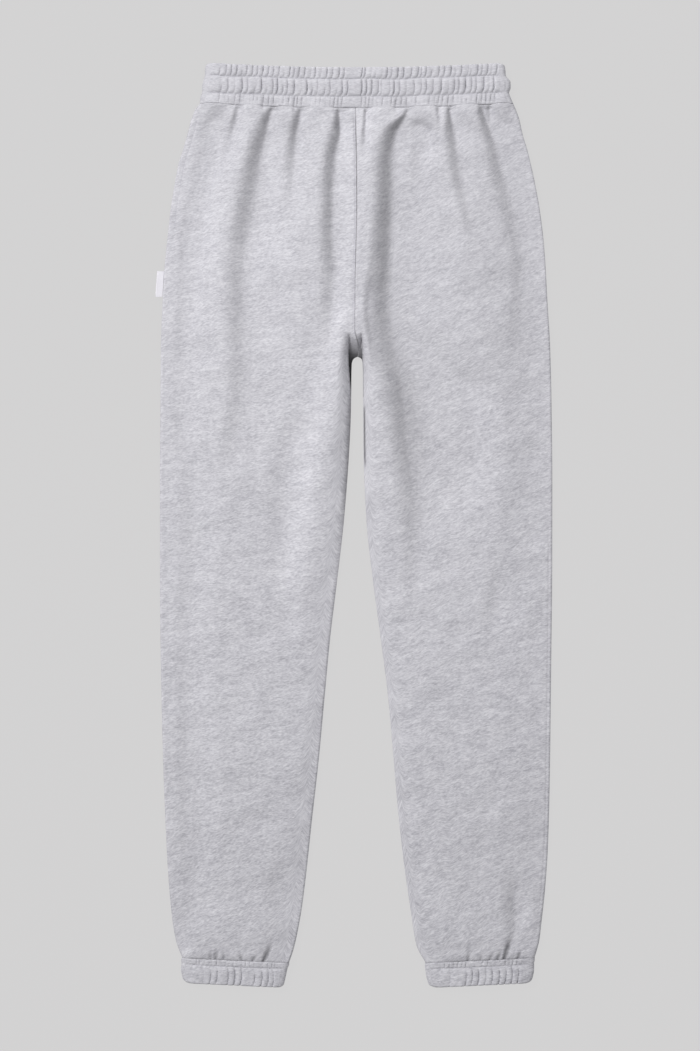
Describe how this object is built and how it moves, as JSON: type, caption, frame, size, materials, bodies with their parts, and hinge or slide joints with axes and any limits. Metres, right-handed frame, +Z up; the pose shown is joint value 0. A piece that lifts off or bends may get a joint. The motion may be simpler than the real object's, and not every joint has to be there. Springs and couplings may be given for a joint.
{
  "type": "jogger sweatpants",
  "caption": "Heather grey fleece jogger sweatpants laid flat back side up, with a gathered elastic waistband, tapered legs, elastic cuffs and a blank side seam label",
  "frame": {"origin": "on the surface that the garment lies on, under the middle of its outline", "axes": "+X is the wearer's right, which is the right of the picture because the back faces up; +Y runs along the legs to the waist; +Z is up from the surface"},
  "size_m": [0.436, 1.014, 0.0215],
  "materials": {
    "back_fleece": "heather grey marled loopback fleece, matte with a slight nap",
    "front_fleece": "the same heather grey marled fleece",
    "casing_fleece": "the same fleece, doubled over an elastic and gathered by two rows of stitching",
    "cuff_fleece": "the same fleece, doubled over an elastic and topstitched once",
    "label_tape": "smooth white woven tape, blank"
  },
  "bodies": {
    "root": {"back_left": "back_fleece", "back_right": "back_fleece", "front_left": "front_fleece", "front_right": "front_fleece", "waistband": "casing_fleece", "cuff_left": "cuff_fleece", "cuff_right": "cuff_fleece", "label": "label_tape"}
  },
  "joints": []
}
